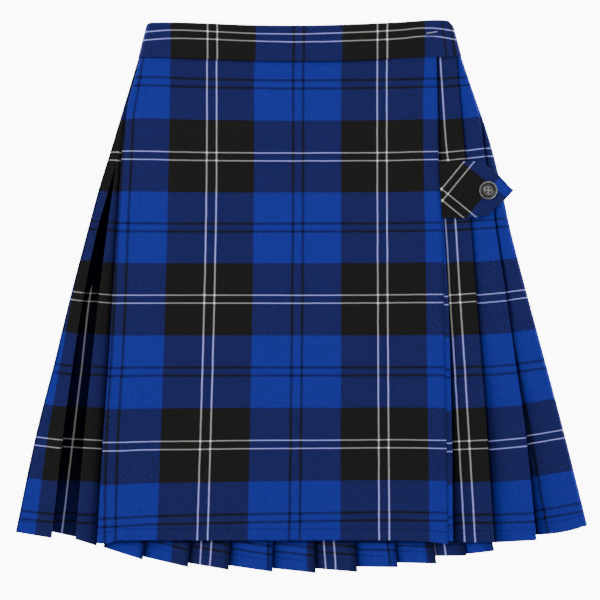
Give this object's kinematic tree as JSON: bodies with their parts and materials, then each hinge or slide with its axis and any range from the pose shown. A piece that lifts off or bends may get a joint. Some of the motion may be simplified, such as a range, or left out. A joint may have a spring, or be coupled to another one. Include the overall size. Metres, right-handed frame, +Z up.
{
  "type": "kilt skirt",
  "caption": "Pleated wrap skirt of checked cloth with a flat front apron, a waistband and a buttoned tab, laid flat.",
  "frame": {"origin": "centre of the underside's bounding rectangle, on the surface the skirt lies on", "axes": "+Z up from the table, out of the skirt's front; +Y along the front from the hem up to the waist; +X to the right as seen from above, towards the buttoned side"},
  "size_m": [0.5408, 0.5233, 0.0133],
  "materials": {
    "cloth_front": "fine twill, woven check",
    "cloth_pleats": "fine twill, woven check",
    "cloth_band": "fine twill, woven check, folded double",
    "horn": "satin"
  },
  "bodies": {
    "root": {"over_apron": "cloth_front", "under_apron": "cloth_front", "tab": "cloth_front", "right_pleats": "cloth_pleats", "back_pleats": "cloth_pleats", "left_pleats": "cloth_pleats", "waistband": "cloth_band", "button": "horn"}
  },
  "joints": []
}
